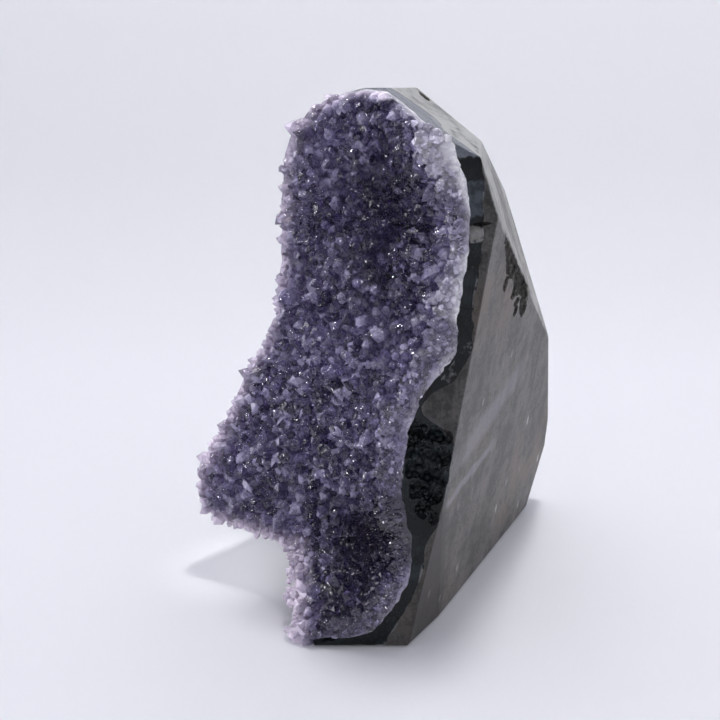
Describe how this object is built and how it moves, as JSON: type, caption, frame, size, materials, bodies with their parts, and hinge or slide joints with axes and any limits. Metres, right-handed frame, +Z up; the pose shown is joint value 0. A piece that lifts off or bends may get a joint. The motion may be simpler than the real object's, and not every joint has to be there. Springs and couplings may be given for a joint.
{
  "type": "amethyst geode",
  "caption": "Free-standing cut-base amethyst geode: polished basalt back, dark chalcedony rind and an open face of purple quartz crystals.",
  "frame": {"origin": "middle of the sawn base, under the middle of the whole", "axes": "+Z up from the sawn base, -Y out of the crystal face, +X to the right of the crystal face"},
  "size_m": [0.0866, 0.106, 0.1519],
  "materials": {
    "basalt": "polished dark grey-brown basalt",
    "chalcedony": "polished blue-black chalcedony",
    "amethyst": "clear purple quartz points on white roots"
  },
  "bodies": {
    "root": {"host_rock": "basalt", "chalcedony_rind": "chalcedony", "amethyst_crust": "amethyst"}
  },
  "joints": []
}
